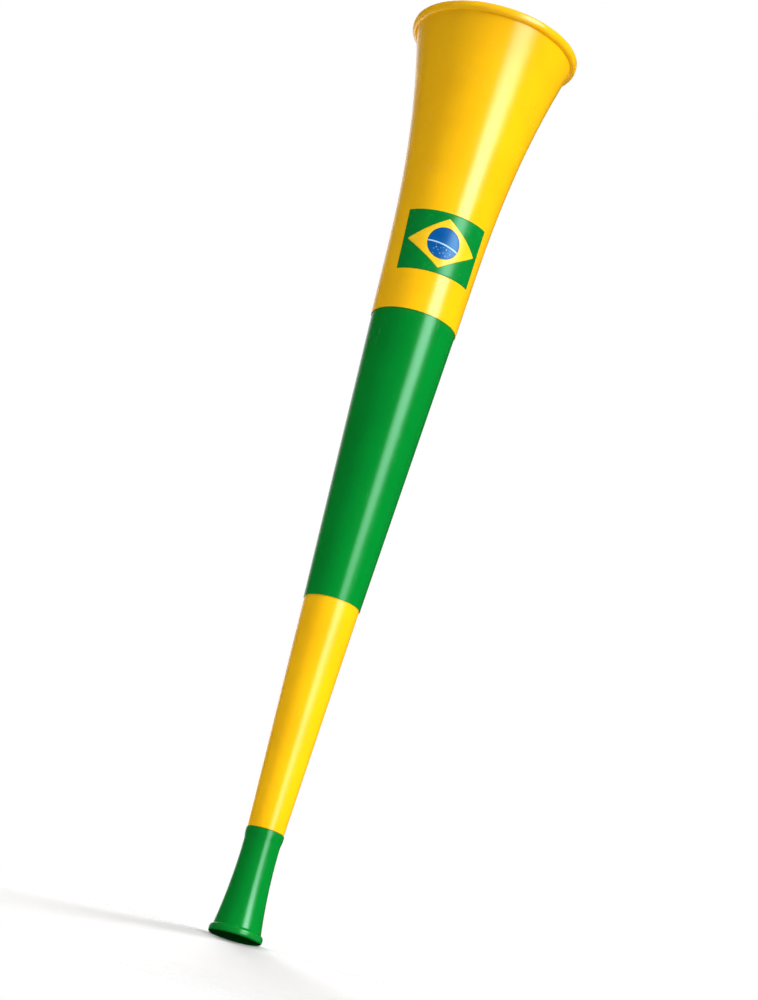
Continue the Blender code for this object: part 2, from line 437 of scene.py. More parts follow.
def mouthpiece_outline():
    """Mouthpiece with its rim flange, cup, throat and the socket that takes the spigot."""
    collar_foot = SLEEVE_TOP - COLLAR_HEIGHT
    socket_floor = SLEEVE_TOP - SPIGOT_LENGTH
    socket_top = SPIGOT_RADIUS + SEAT_CLEARANCE
    socket_foot = socket_top - SEAT_TAPER * SPIGOT_LENGTH
    waist = between(FLANGE_HEIGHT, WAIST_HEIGHT, WAIST_STATIONS)
    cup = [CUP_DEPTH * math.sin(math.pi / 2 * step / CUP_STATIONS)
           for step in range(1, CUP_STATIONS)]
    corners = [(COLLAR_RADIUS, SLEEVE_TOP, SOFT_ROUND),
               (COLLAR_RADIUS, collar_foot, COLLAR_ROUND),
               (WAIST_RADIUS, collar_foot - COLLAR_BLEND, COLLAR_ROUND),
               (WAIST_RADIUS, WAIST_HEIGHT, 0)]
    corners += [(waist_radius(height), height, 0) for height in reversed(waist)]
    corners += [(waist_radius(FLANGE_HEIGHT), FLANGE_HEIGHT, SOFT_ROUND),
                (FLANGE_RADIUS, FLANGE_HEIGHT - FLANGE_SLOPE, FLANGE_ROUND),
                (FLANGE_RADIUS, 0, RIM_OUTER_ROUND),
                (CUP_RADIUS, 0, RIM_INNER_ROUND)]
    corners += [(cup_radius(height), height, 0) for height in cup]
    corners += [(THROAT_RADIUS, CUP_DEPTH, THROAT_ROUND),
                (THROAT_RADIUS, THROAT_END, THROAT_ROUND),
                (BACKBORE_RADIUS, socket_floor, EDGE_ROUND),
                (socket_foot, socket_floor, EDGE_ROUND),
                (socket_top, SLEEVE_TOP, EDGE_ROUND)]
    return corners


# Node trees: helpers shared by geometry and materials

def node(tree, kind, **settings):
    """Add a node and set its plain properties."""
    made = tree.nodes.new(kind)
    for name, value in settings.items():
        setattr(made, name, value)
    return made


def feed(tree, socket, value):
    """Give an input socket a link or a constant."""
    if isinstance(value, bpy.types.NodeSocket):
        tree.links.new(value, socket)
    else:
        socket.default_value = value


def calculate(tree, kind, operation, *values):
    """Result of a Math or Vector Math node fed with sockets or numbers."""
    made = node(tree, kind, operation=operation)
    for socket, value in zip(made.inputs, values):
        feed(tree, socket, value)
    return made.outputs["Value"] if operation in ("DOT_PRODUCT", "LENGTH") else made.outputs[0]


def number(tree, operation, *values):
    """Result of a Math node in a geometry or shader tree."""
    return calculate(tree, "ShaderNodeMath", operation, *values)


def separate(tree, vector):
    """The x, y and z of a vector."""
    made = node(tree, "ShaderNodeSeparateXYZ")
    feed(tree, made.inputs[0], vector)
    return made.outputs


def combine(tree, x, y, z):
    """A vector from its x, y and z."""
    made = node(tree, "ShaderNodeCombineXYZ")
    for socket, value in zip(made.inputs, (x, y, z)):
        feed(tree, socket, value)
    return made.outputs[0]


# Geometry Nodes

def geometry_tree(name, inputs):
    """New geometry tree with a geometry input and output, and the named inputs."""
    tree = bpy.data.node_groups.new(name, "GeometryNodeTree")
    tree.is_modifier = True
    tree.interface.new_socket("Geometry", in_out="INPUT", socket_type="NodeSocketGeometry")
    for label, kind in inputs:
        tree.interface.new_socket(label, in_out="INPUT", socket_type="NodeSocket" + kind)
    tree.interface.new_socket("Geometry", in_out="OUTPUT", socket_type="NodeSocketGeometry")
    return tree, node(tree, "NodeGroupInput").outputs


def close_tree(tree, geometry, material):
    """End a tree in Realize Instances and Set Material."""
    realize = node(tree, "GeometryNodeRealizeInstances")
    paint = node(tree, "GeometryNodeSetMaterial")
    output = node(tree, "NodeGroupOutput")
    tree.links.new(geometry, realize.inputs[0])
    tree.links.new(realize.outputs[0], paint.inputs["Geometry"])
    tree.links.new(material, paint.inputs["Material"])
    tree.links.new(paint.outputs[0], output.inputs[0])


def turned_wall_tree():
    """Turns an outline's points round the Z axis and closes the wall on itself."""
    tree, given = geometry_tree("turned_wall", [("Segments", "Int"), ("Sharp Angle", "Float"),
                                                ("Merge Distance", "Float"),
                                                ("Material", "Material")])
    size = node(tree, "GeometryNodeAttributeDomainSize", component="MESH")
    tree.links.new(given["Geometry"], size.inputs[0])
    outline_points = size.outputs["Point Count"]
    columns = number(tree, "ADD", given["Segments"], 1)
    grid = node(tree, "GeometryNodeMeshGrid")
    tree.links.new(number(tree, "ADD", outline_points, 1), grid.inputs["Vertices X"])
    tree.links.new(columns, grid.inputs["Vertices Y"])

    index = node(tree, "GeometryNodeInputIndex").outputs[0]
    row = number(tree, "FLOOR", number(tree, "DIVIDE", number(tree, "ADD", index, 0.5), columns))
    column = number(tree, "SUBTRACT", index, number(tree, "MULTIPLY", row, columns))
    sample = node(tree, "GeometryNodeSampleIndex", data_type="FLOAT_VECTOR", domain="POINT")
    tree.links.new(given["Geometry"], sample.inputs["Geometry"])
    tree.links.new(node(tree, "GeometryNodeInputPosition").outputs[0], sample.inputs["Value"])
    tree.links.new(number(tree, "FLOORED_MODULO", row, outline_points), sample.inputs["Index"])
    radius, _, height = separate(tree, sample.outputs[0])
    turns = number(tree, "DIVIDE", column, given["Segments"])
    angle = number(tree, "MULTIPLY", turns, math.tau)
    place = node(tree, "GeometryNodeSetPosition")
    tree.links.new(grid.outputs["Mesh"], place.inputs["Geometry"])
    tree.links.new(combine(tree, number(tree, "MULTIPLY", radius, number(tree, "COSINE", angle)),
                           number(tree, "MULTIPLY", radius, number(tree, "SINE", angle)), height),
                   place.inputs["Position"])

    wrap = node(tree, "GeometryNodeStoreNamedAttribute", data_type="FLOAT2", domain="CORNER")
    wrap.inputs["Name"].default_value = "UVMap"
    tree.links.new(place.outputs[0], wrap.inputs["Geometry"])
    tree.links.new(grid.outputs["UV Map"], wrap.inputs["Value"])
    merge = node(tree, "GeometryNodeMergeByDistance")
    tree.links.new(wrap.outputs[0], merge.inputs["Geometry"])
    tree.links.new(given["Merge Distance"], merge.inputs["Distance"])

    bend = node(tree, "GeometryNodeInputMeshEdgeAngle").outputs["Unsigned Angle"]
    crisp = node(tree, "FunctionNodeCompare", operation="GREATER_THAN", data_type="FLOAT")
    tree.links.new(bend, crisp.inputs[0])
    tree.links.new(given["Sharp Angle"], crisp.inputs[1])
    edges = node(tree, "GeometryNodeSetShadeSmooth", domain="EDGE")
    edges.inputs["Shade Smooth"].default_value = False
    tree.links.new(merge.outputs[0], edges.inputs["Geometry"])
    tree.links.new(crisp.outputs[0], edges.inputs["Selection"])
    close_tree(tree, edges.outputs[0], given["Material"])
    return tree


def finish_nodes(piece):
    """Replace a piece's node-made geometry with a plain mesh and remove its modifiers."""
    depsgraph = bpy.context.evaluated_depsgraph_get()
    mesh = bpy.data.meshes.new_from_object(piece.evaluated_get(depsgraph), depsgraph=depsgraph)
    piece.modifiers.clear()
    piece.data = mesh
    mesh.name = piece.name
    return piece


def with_nodes(piece, tree, **inputs):
    """Put a geometry tree on a piece, with its named inputs set by their sockets' identifiers."""
    modifier = piece.modifiers.new(tree.name, "NODES")
    modifier.node_group = tree
    for item in tree.interface.items_tree:
        label = item.name.lower().replace(" ", "_")
        if item.item_type == "SOCKET" and item.in_out == "INPUT" and label in inputs:
            modifier[item.identifier] = inputs[label]
    return piece


def new_piece(name, vertices, edges, faces):
    """Mesh object linked to the scene."""
    mesh = bpy.data.meshes.new(name)
    mesh.from_pydata(vertices, edges, faces)
    piece = bpy.data.objects.new(name, mesh)
    bpy.context.scene.collection.objects.link(piece)
    return piece


def turned(name, corners, tree, segments, material):
    """A wall turned from its outline by the geometry tree."""
    outline = [(radius * MM, 0.0, height * MM) for radius, height in rounded(corners)]
    piece = new_piece(name, outline, [], [])
    with_nodes(piece, tree, segments=segments, sharp_angle=SHARP_ANGLE,
               merge_distance=WALL_MERGE_DISTANCE, material=material)
    return finish_nodes(piece)


def printed_tree():
    """Wraps flat shapes round the bell by the bell's own rule, and gives them the ink's thickness.

    A flat shape has x along the surface and y up, measured from the print's centre.
    """
    tree, given = geometry_tree("print_on_bell", [
        ("Centre Height", "Float"), ("Tilt", "Float"), ("Lift", "Float"), ("Ink", "Float"),
        ("Foot Height", "Float"), ("Foot Radius", "Float"), ("Taper", "Float"),
        ("Flare Start", "Float"), ("Flare Length", "Float"), ("Flare Growth", "Float"),
        ("Flare Power", "Float"), ("Material", "Material")])
    x, y, _ = separate(tree, node(tree, "GeometryNodeInputPosition").outputs[0])
    cosine = number(tree, "COSINE", given["Tilt"])
    sine = number(tree, "SINE", given["Tilt"])
    along = number(tree, "SUBTRACT", number(tree, "MULTIPLY", x, cosine),
                   number(tree, "MULTIPLY", y, sine))
    rise = number(tree, "ADD", number(tree, "MULTIPLY", x, sine),
                  number(tree, "MULTIPLY", y, cosine))
    height = number(tree, "ADD", given["Centre Height"], rise)

    def radius_at(level):
        """Outer radius of the bell at a height, as bell_radius gives it."""
        cone = number(tree, "MULTIPLY_ADD", number(tree, "SUBTRACT", level, given["Foot Height"]),
                      given["Taper"], given["Foot Radius"])
        share = number(tree, "DIVIDE", number(tree, "SUBTRACT", level, given["Flare Start"]),
                       given["Flare Length"])
        share = number(tree, "POWER", number(tree, "MAXIMUM", share, 0.0), given["Flare Power"])
        return number(tree, "MULTIPLY_ADD", share, given["Flare Growth"], cone)

    radius = number(tree, "ADD", radius_at(height), given["Lift"])
    angle = number(tree, "DIVIDE", along, radius_at(given["Centre Height"]))
    place = node(tree, "GeometryNodeSetPosition")
    tree.links.new(given["Geometry"], place.inputs["Geometry"])
    back = number(tree, "MULTIPLY", radius, number(tree, "COSINE", angle))
    tree.links.new(combine(tree, number(tree, "MULTIPLY", radius, number(tree, "SINE", angle)),
                           number(tree, "MULTIPLY", back, -1.0), height),
                   place.inputs["Position"])

    smooth = node(tree, "GeometryNodeSetShadeSmooth", domain="FACE")
    tree.links.new(place.outputs[0], smooth.inputs["Geometry"])
    raise_face = node(tree, "GeometryNodeExtrudeMesh", mode="FACES")
    raise_face.inputs["Individual"].default_value = False
    tree.links.new(smooth.outputs[0], raise_face.inputs["Mesh"])
    tree.links.new(given["Ink"], raise_face.inputs["Offset Scale"])
    sides = node(tree, "GeometryNodeSetShadeSmooth", domain="FACE")
    sides.inputs["Shade Smooth"].default_value = False
    tree.links.new(raise_face.outputs["Mesh"], sides.inputs["Geometry"])
    tree.links.new(raise_face.outputs["Side"], sides.inputs["Selection"])
    under = node(tree, "GeometryNodeFlipFaces")
    tree.links.new(smooth.outputs[0], under.inputs[0])
    both = node(tree, "GeometryNodeJoinGeometry")
    tree.links.new(under.outputs[0], both.inputs[0])
    tree.links.new(sides.outputs[0], both.inputs[0])
    merge = node(tree, "GeometryNodeMergeByDistance")
    merge.inputs["Distance"].default_value = INK_MERGE_DISTANCE
    tree.links.new(both.outputs[0], merge.inputs["Geometry"])
    close_tree(tree, merge.outputs[0], given["Material"])
    return tree


def star_field_tree():
    """Scatters small stars over a flat shape, by a fixed seed."""
    tree, given = geometry_tree("star_field", [("Density", "Float"), ("Spacing", "Float"),
                                               ("Seed", "Int"), ("Star Size", "Float"),
                                               ("Material", "Material")])
    scatter = node(tree, "GeometryNodeDistributePointsOnFaces", distribute_method="POISSON")
    tree.links.new(given["Geometry"], scatter.inputs["Mesh"])
    tree.links.new(given["Spacing"], scatter.inputs["Distance Min"])
    tree.links.new(given["Density"], scatter.inputs["Density Max"])
    tree.links.new(given["Seed"], scatter.inputs["Seed"])
    star = node(tree, "GeometryNodeCurveStar")
    star.inputs["Points"].default_value = STAR_POINTS
    tree.links.new(given["Star Size"], star.inputs["Outer Radius"])
    tree.links.new(number(tree, "MULTIPLY", given["Star Size"], STAR_INNER_SHARE),
                   star.inputs["Inner Radius"])
    fill = node(tree, "GeometryNodeFillCurve")
    tree.links.new(star.outputs["Curve"], fill.inputs["Curve"])
    size = node(tree, "FunctionNodeRandomValue", data_type="FLOAT")
    for socket in size.inputs:
        if socket.enabled and socket.name in ("Min", "Max"):
            socket.default_value = SMALLEST_STAR if socket.name == "Min" else LARGEST_STAR
        if socket.name == "Seed":
            tree.links.new(given["Seed"], socket)
    spread = node(tree, "GeometryNodeInstanceOnPoints")
    tree.links.new(scatter.outputs["Points"], spread.inputs["Points"])
    tree.links.new(fill.outputs[0], spread.inputs["Instance"])
    scale = [socket for socket in size.outputs if socket.enabled][0]
    tree.links.new(scale, spread.inputs["Scale"])
    close_tree(tree, spread.outputs[0], given["Material"])
    return tree


# Flat shapes of the flag, in millimetres from its centre

def patch(name, rows):
    """Flat mesh from rows of (x, y) points, facing +Z."""
    width = len(rows[0])
    vertices = [(x * MM, y * MM, 0.0) for row in rows for x, y in row]
    faces = []
    for row in range(len(rows) - 1):
        for column in range(width - 1):
            corner = row * width + column
            faces.append((corner, corner + 1, corner + width + 1, corner + width))
    piece = new_piece(name, vertices, [], faces)
    layer = piece.data.uv_layers.new(name="UVMap")
    for loop in piece.data.loops:
        x, y, _ = piece.data.vertices[loop.vertex_index].co
        layer.data[loop.index].uv = (0.5 + x / (2 * FLAG_HALF_WIDTH * MM),
                                     0.5 + y / (2 * FLAG_HALF_WIDTH * MM))
    return piece


def span(count):
    """Evenly spaced values from -1 to 1."""
    return [2 * step / count - 1 for step in range(count + 1)]


def field_patch(name):
    """The flag's oblong field."""
    across, up = FIELD_STEPS
    return patch(name, [[(u * FLAG_HALF_WIDTH, v * FLAG_HALF_HEIGHT) for u in span(across)]
                        for v in span(up)])


def rhombus_patch(name):
    """The rhombus: a square grid turned by 45 degrees and stretched."""
    return patch(name, [[((u - v) / 2 * RHOMBUS_HALF_WIDTH, (u + v) / 2 * RHOMBUS_HALF_HEIGHT)
                         for u in span(RHOMBUS_STEPS)] for v in span(RHOMBUS_STEPS)])


def disc_point(u, v):
    """Point of the disc for a point of the square from -1 to 1."""
    reach = max(abs(u), abs(v))
    length = math.hypot(u, v)
    if length == 0:
        return (0.0, 0.0)
    return (u * reach / length * DISC_RADIUS, v * reach / length * DISC_RADIUS)


def disc_patch(name):
    """The disc in the middle of the rhombus."""
    return patch(name, [[disc_point(u, v) for u in span(DISC_STEPS)] for v in span(DISC_STEPS)])


def band_limit(radius):
    """Half angle, about the band's centre, at which one of its edges meets the disc's rim."""
    share = (BAND_DROP ** 2 + radius ** 2 - DISC_RADIUS ** 2) / (2 * BAND_DROP * radius)
    return math.acos(share)


def band_patch(name):
    """Curved plain band across the disc, cut off at the disc's rim."""
    across, up = BAND_STEPS
    rows = []
    for v in span(up):
        radius = BAND_RADIUS + v * BAND_WIDTH / 2
        limit = band_limit(radius)
        turns = [BAND_LEAN + u * limit for u in span(across)]
        rows.append([(radius * math.sin(turn) - BAND_DROP * math.sin(BAND_LEAN),
                      radius * math.cos(turn) - BAND_DROP * math.cos(BAND_LEAN))
                     for turn in turns])
    return patch(name, rows)


def printed(piece, tree, layer, material):
    """Wrap a flat shape round the bell as one layer of ink."""
    with_nodes(piece, tree, centre_height=FLAG_HEIGHT * MM, tilt=FLAG_TILT,
               lift=(INK_LIFT + layer * INK_THICKNESS) * MM, ink=INK_THICKNESS * MM,
               foot_height=BELL_START * MM, foot_radius=bell_foot_radius() * MM,
               taper=BELL_TAPER, flare_start=FLARE_START * MM,
               flare_length=(TOTAL_LENGTH - FLARE_START) * MM, flare_growth=FLARE_GROWTH * MM,
               flare_power=FLARE_POWER, material=material)
    return finish_nodes(piece)


def star_piece(name, stars, ink, layer, material):
    """Scatter the stars on the disc below the band, then print them."""
    across, up = STAR_PATCH_STEPS
    rows = [[(STAR_PATCH_LEFT * DISC_RADIUS + DISC_RADIUS * STAR_PATCH_WIDTH * column / across,
              STAR_PATCH_FOOT * DISC_RADIUS + DISC_RADIUS * STAR_PATCH_HEIGHT * row / up)
             for column in range(across + 1)] for row in range(up + 1)]
    piece = patch(name, rows)
    with_nodes(piece, stars, density=STAR_DENSITY, spacing=STAR_SPACING * MM, seed=STAR_SEED,
               star_size=STAR_SIZE * MM, material=material)
    return printed(finish_nodes(piece), ink, layer, material)


# Materials

def new_material(name):
    """New material, its node tree and its plastic shader."""
    material = bpy.data.materials.new(name)
    material.use_nodes = True
    tree = material.node_tree
    shader = tree.nodes["Principled BSDF"]
    return material, tree, shader


def noise(tree, vector, scale, detail):
    """Grey value of a noise texture."""
    made = node(tree, "ShaderNodeTexNoise")
    feed(tree, made.inputs["Vector"], vector)
    made.inputs["Scale"].default_value = scale
    made.inputs["Detail"].default_value = detail
    return made.outputs["Fac"]


def stretched(tree, vector, scale):
    """Coordinates scaled by their own factor along each axis."""
    made = node(tree, "ShaderNodeMapping")
    feed(tree, made.inputs["Vector"], vector)
    made.inputs["Scale"].default_value = scale
    return made.outputs[0]


def mapped(tree, value, low, high, new_low, new_high):
    """Value passed smoothly from one range to another, and kept inside it."""
    made = node(tree, "ShaderNodeMapRange", interpolation_type="SMOOTHSTEP")
    for socket, item in zip(made.inputs, (value, low, high, new_low, new_high)):
        feed(tree, socket, item)
    return made.outputs[0]


def blended(tree, share, first, second):
    """Colour between two colours."""
    made = node(tree, "ShaderNodeMix", data_type="RGBA")
    sockets = [socket for socket in made.inputs if socket.enabled]
    for socket, item in zip(sockets, (share, first, second)):
        feed(tree, socket, item)
    return [socket for socket in made.outputs if socket.enabled][0]


def shade(colour, factor):
    """A darker or paler shade of a colour."""
    return tuple(min(1.0, channel * factor) for channel in colour[:3]) + (1.0,)


def scuffed(colour):
    """The pale tone of a colour where it is scratched or rubbed."""
    return tuple(channel * SCUFF_TINT + SCUFF_PALENESS for channel in colour[:3]) + (1.0,)


def bump(tree, height, distance, strength, normal=None):
    """Normal from a height."""
    made = node(tree, "ShaderNodeBump")
    made.inputs["Strength"].default_value = strength
    made.inputs["Distance"].default_value = distance
    feed(tree, made.inputs["Height"], height)
    if normal is not None:
        feed(tree, made.inputs["Normal"], normal)
    return made.outputs[0]


def moulded_plastic(name, colour, gloss, ior, rub_radius, rub_depth):
    """Glossy moulded plastic: clouded pigment, flow streaks, scuffs, and a rubbed widest ring."""
    material, tree, shader = new_material(name)
    place = node(tree, "ShaderNodeTexCoord").outputs["Object"]
    x, y, _ = separate(tree, place)
    radius = number(tree, "SQRT", number(tree, "ADD", number(tree, "MULTIPLY", x, x),
                                         number(tree, "MULTIPLY", y, y)))

    clouds = noise(tree, place, *CLOUD_NOISE)
    streaks = noise(tree, stretched(tree, place, STREAK_STRETCH), *STREAK_NOISE)
    peel = noise(tree, place, *PEEL_NOISE)
    lines = noise(tree, stretched(tree, place, SCRATCH_STRETCH), *SCRATCH_NOISE)
    scuffs = noise(tree, place, *SCUFF_NOISE)
    scratches = number(tree, "MULTIPLY", mapped(tree, lines, *SCRATCH_GREYS, 0.0, 1.0),
                       mapped(tree, scuffs, *SCUFF_GREYS, 0.0, 1.0))
    widest = mapped(tree, radius, rub_radius - rub_depth, rub_radius, 0.0, 1.0)
    rubbed = number(tree, "MULTIPLY", widest,
                    mapped(tree, noise(tree, place, *RUB_NOISE), *RUB_GREYS, LEAST_RUB, 1.0))

    dark, light = [shade(colour, factor) for factor in CLOUD_SHADES]
    pigment = blended(tree, mapped(tree, clouds, *MIDDLE_GREYS, 0.0, 1.0), dark, light)
    pigment = blended(tree, number(tree, "MULTIPLY", streaks, STREAK_SHARE), pigment,
                      shade(colour, STREAK_SHADE))
    worn = number(tree, "MULTIPLY_ADD", rubbed, RUB_SHARE,
                  number(tree, "MULTIPLY", scratches, SCRATCH_SHARE))
    tree.links.new(blended(tree, worn, pigment, scuffed(colour)), shader.inputs["Base Color"])

    base = mapped(tree, streaks, *STREAK_GREYS, *PLASTIC_ROUGHNESS)
    dulled = number(tree, "MULTIPLY_ADD", scratches, SCRATCH_ROUGHNESS, base)
    tree.links.new(number(tree, "MULTIPLY_ADD", rubbed, RUB_ROUGHNESS, dulled),
                   shader.inputs["Roughness"])
    shader.inputs["IOR"].default_value = ior
    shader.inputs["Specular Tint"].default_value = gloss
    shader.inputs["Metallic"].default_value = 0.0

    parting = mapped(tree, number(tree, "ABSOLUTE", y), *PARTING_WIDTH, 1.0, 0.0)
    normal = bump(tree, streaks, *STREAK_BUMP)
    normal = bump(tree, peel, *PEEL_BUMP, normal)
    normal = bump(tree, scratches, *SCRATCH_BUMP, normal)
    normal = bump(tree, parting, *PARTING_BUMP, normal)
    tree.links.new(normal, shader.inputs["Normal"])
    return material


def printed_ink(name, colour, gloss=WHITE):
    """Screen-printed ink: slightly uneven cover, with pinholes and a soft gloss."""
    material, tree, shader = new_material(name)
    place = node(tree, "ShaderNodeTexCoord").outputs["Object"]
    cover = noise(tree, place, *COVER_NOISE)
    pinholes = noise(tree, place, *PINHOLE_NOISE)
    dark, light = [shade(colour, factor) for factor in COVER_SHADES]
    tone = blended(tree, mapped(tree, cover, *MIDDLE_GREYS, 0.0, 1.0), dark, light)
    thin = mapped(tree, pinholes, *PINHOLE_GREYS, 0.0, PINHOLE_SHARE)
    tree.links.new(blended(tree, thin, tone, shade(colour, PINHOLE_SHADE)),
                   shader.inputs["Base Color"])
    tree.links.new(mapped(tree, cover, *MIDDLE_GREYS, *INK_ROUGHNESS), shader.inputs["Roughness"])
    shader.inputs["IOR"].default_value = INK_IOR
    shader.inputs["Specular Tint"].default_value = gloss
    normal = bump(tree, pinholes, *PINHOLE_BUMP)
    tree.links.new(bump(tree, cover, *COVER_BUMP, normal), shader.inputs["Normal"])
    return material


# Stage, light and camera

def mix_shaders(tree, share, first, second):
    """Mix Shader between two shaders."""
    made = node(tree, "ShaderNodeMixShader")
    for socket, item in zip(made.inputs, (share, first, second)):
        feed(tree, socket, item)
    return made.outputs[0]


def lamp_direction(azimuth, elevation):
    """Direction away from the horn, for an azimuth in degrees from the camera's side."""
    turn = CAMERA_AZIMUTH + math.radians(azimuth)
    return Vector((math.sin(turn) * math.cos(elevation), -math.cos(turn) * math.cos(elevation),
                   math.sin(elevation)))


def seen_and_lit(tree, kind):
    """A floor surface that the camera sees as white, and that is plain pale for light."""
    from_sides = (KEY_LIGHT + BACK_LIGHT) * math.sin(SIDE_ELEVATION)
    open_floor = WORLD_LIGHT + from_sides + TOP_LIGHT * math.sin(TOP_ELEVATION)
    shaders = []
    for tone in (FLOOR_TONE, FLOOR_SEEN / open_floor):
        shader = node(tree, kind)
        shader.inputs["Color"].default_value = (tone, tone, tone, 1.0)
        shaders.append(shader.outputs[0])
    path = node(tree, "ShaderNodeLightPath")
    return mix_shaders(tree, path.outputs["Is Camera Ray"], *shaders)


def floor_material():
    """Plain pale floor that takes the shadow.

    Seen from below, only the part behind the horn is there and shows the shadow through it. It
    fades out with distance and towards the sides, and a painted contact shadow darkens it close
    to the foot. Inside the foot's ring it lets a share of light up into the cup. The plastic's
    gloss mirrors nothing of it but a black patch round the foot, which is painted shadow.
    """
    material = bpy.data.materials.new("studio_floor")
    material.use_nodes = True
    tree = material.node_tree
    tree.nodes.clear()
    clear = node(tree, "ShaderNodeBsdfTransparent").outputs[0]
    place = node(tree, "ShaderNodeTexCoord").outputs["Object"]
    reach = calculate(tree, "ShaderNodeVectorMath", "LENGTH", place)
    straight_behind = tuple(lamp_direction(180.0, 0.0))
    behind = calculate(tree, "ShaderNodeVectorMath", "DOT_PRODUCT", place, straight_behind)
    faded = mapped(tree, reach, *FLOOR_FADE, 0.0, 1.0)
    outside = number(tree, "GREATER_THAN", reach, RIM_FOOT_RADIUS * MM)
    let_through = number(tree, "MULTIPLY", number(tree, "SUBTRACT", 1.0, outside), OPENING_LIGHT)
    top = mix_shaders(tree, number(tree, "MAXIMUM", faded, let_through),
                      seen_and_lit(tree, "ShaderNodeBsdfDiffuse"), clear)
    near = mapped(tree, reach, SHADOW_FADE_START, SHADOW_REACH, 1.0, 0.0)
    turned_back = number(tree, "DIVIDE", behind, reach)
    shown = number(tree, "MULTIPLY", number(tree, "MULTIPLY", outside, near),
                   mapped(tree, turned_back, 0.0, SIDEWAYS_FADE, 0.0, 1.0))
    # Painted contact shadow: a black diffuse mixed into the underside round the foot's ring
    painted_contact_shadow = mapped(tree, reach, RIM_FOOT_RADIUS * MM, PAINTED_CONTACT_REACH, PAINTED_CONTACT_SHADE, 0.0)
    dark = node(tree, "ShaderNodeBsdfDiffuse")
    dark.inputs["Color"].default_value = BLACK
    shaded = mix_shaders(tree, painted_contact_shadow, seen_and_lit(tree, "ShaderNodeBsdfTranslucent"),
                         dark.outputs[0])
    below = mix_shaders(tree, shown, clear, shaded)
    side = node(tree, "ShaderNodeNewGeometry").outputs["Backfacing"]
    surface = mix_shaders(tree, side, top, below)
    # Painted shadow: glossy rays see a black patch round the foot, and nothing else of the floor
    under_foot = number(tree, "LESS_THAN", reach, PAINTED_GLOSS_SHADOW_REACH)
    mirrored_painted_shadow = mix_shaders(tree, under_foot, clear, dark.outputs[0])
    glossy = node(tree, "ShaderNodeLightPath").outputs["Is Glossy Ray"]
    tree.links.new(mix_shaders(tree, glossy, surface, mirrored_painted_shadow),
                   node(tree, "ShaderNodeOutputMaterial").inputs[0])
    return material


def make_floor():
    """Round floor that the horn stands on."""
    turns = [math.tau * step / FLOOR_SIDES for step in range(FLOOR_SIDES)]
    vertices = [(FLOOR_RADIUS * math.cos(turn), FLOOR_RADIUS * math.sin(turn), -FLOOR_DEPTH)
                for turn in turns]
    floor = new_piece("floor", vertices, [], [tuple(range(FLOOR_SIDES))])
    floor.data.materials.append(floor_material())


def make_world():
    """White background for what is seen, and plain soft light for the rest.

    In reflections the white backdrop stands behind the horn, and the room on this side is dark.
    """
    world = bpy.data.worlds.new("studio")
    bpy.context.scene.world = world
    world.use_nodes = True
    tree = world.node_tree
    tree.nodes.clear()
    path = node(tree, "ShaderNodeLightPath").outputs
    direction = node(tree, "ShaderNodeTexCoord").outputs["Generated"]
    backdrop_side = tuple(lamp_direction(BACKDROP_AZIMUTH, 0.0))
    behind = calculate(tree, "ShaderNodeVectorMath", "DOT_PRODUCT", direction, backdrop_side)
    above = mapped(tree, separate(tree, direction)[2], *BACKDROP_FOOT, 0.0, 1.0)
    backdrop = number(tree, "MULTIPLY", mapped(tree, behind, *BACKDROP_EDGE, 0.0, 1.0), above)
    backdrop = mapped(tree, backdrop, 0.0, 1.0, ROOM_IN_GLOSS, BACKDROP_IN_GLOSS)
    reflected = mapped(tree, path["Is Glossy Ray"], 0.0, 1.0, WORLD_LIGHT, backdrop)
    through = number(tree, "SUBTRACT", path["Is Transmission Ray"], path["Is Diffuse Ray"])
    seen = number(tree, "MAXIMUM", path["Is Camera Ray"], through)
    background = node(tree, "ShaderNodeBackground")
    background.inputs["Color"].default_value = WHITE
    tree.links.new(mapped(tree, seen, 0.0, 1.0, reflected, 1.0), background.inputs["Strength"])
    tree.links.new(background.outputs[0], node(tree, "ShaderNodeOutputWorld").inputs[0])


def lamp_at(name, light, azimuth, elevation, distance):
    """Lamp aimed at the horn."""
    away = lamp_direction(azimuth, elevation)
    lamp = bpy.data.objects.new(name, light)
    lamp.location = Vector(LIGHT_AIM) + away * distance
    lamp.rotation_mode = "QUATERNION"
    lamp.rotation_quaternion = away.to_track_quat("Z", "Y")
    bpy.context.scene.collection.objects.link(lamp)
    return lamp


def wall_light(name, azimuth, elevation, spread, level):
    """Broad even light on the walls and the floor, with soft shadows and no highlight."""
    light = bpy.data.lights.new(name, "SUN")
    light.angle = spread
    light.energy = level * math.pi
    lamp = lamp_at(name, light, azimuth, elevation, LAMP_DISTANCE)
    lamp.visible_glossy = False


def highlight_strip(name, azimuth, radiance, change, low, high):
    """Tall soft-edged strip, seen in the plastic's gloss only.

    Its low part passes into its high part between the two shares of its length in the change.
    """
    light = bpy.data.lights.new(name, "AREA")
    light.shape = "RECTANGLE"
    light.size = STRIP_WIDTH
    light.size_y = STRIP_LENGTH
    light.energy = radiance * math.pi * STRIP_WIDTH * STRIP_LENGTH
    light.use_nodes = True
    tree = light.node_tree
    tree.nodes.clear()
    across, up, _ = separate(tree, node(tree, "ShaderNodeNewGeometry").outputs["Parametric"])
    middle, reach, level = [mapped(tree, up, *change, *ends) for ends in zip(low, high)]
    off_middle = number(tree, "ABSOLUTE", number(tree, "SUBTRACT", across, middle))
    glow = node(tree, "ShaderNodeEmission")
    soft = mapped(tree, number(tree, "DIVIDE", off_middle, reach), *STRIP_EDGE, 1.0, 0.0)
    tree.links.new(number(tree, "MULTIPLY", soft, level), glow.inputs["Strength"])
    tree.links.new(glow.outputs[0], node(tree, "ShaderNodeOutputLight").inputs[0])
    lamp = lamp_at(name, light, azimuth, 0.0, STRIP_DISTANCE)
    lamp.visible_diffuse = False


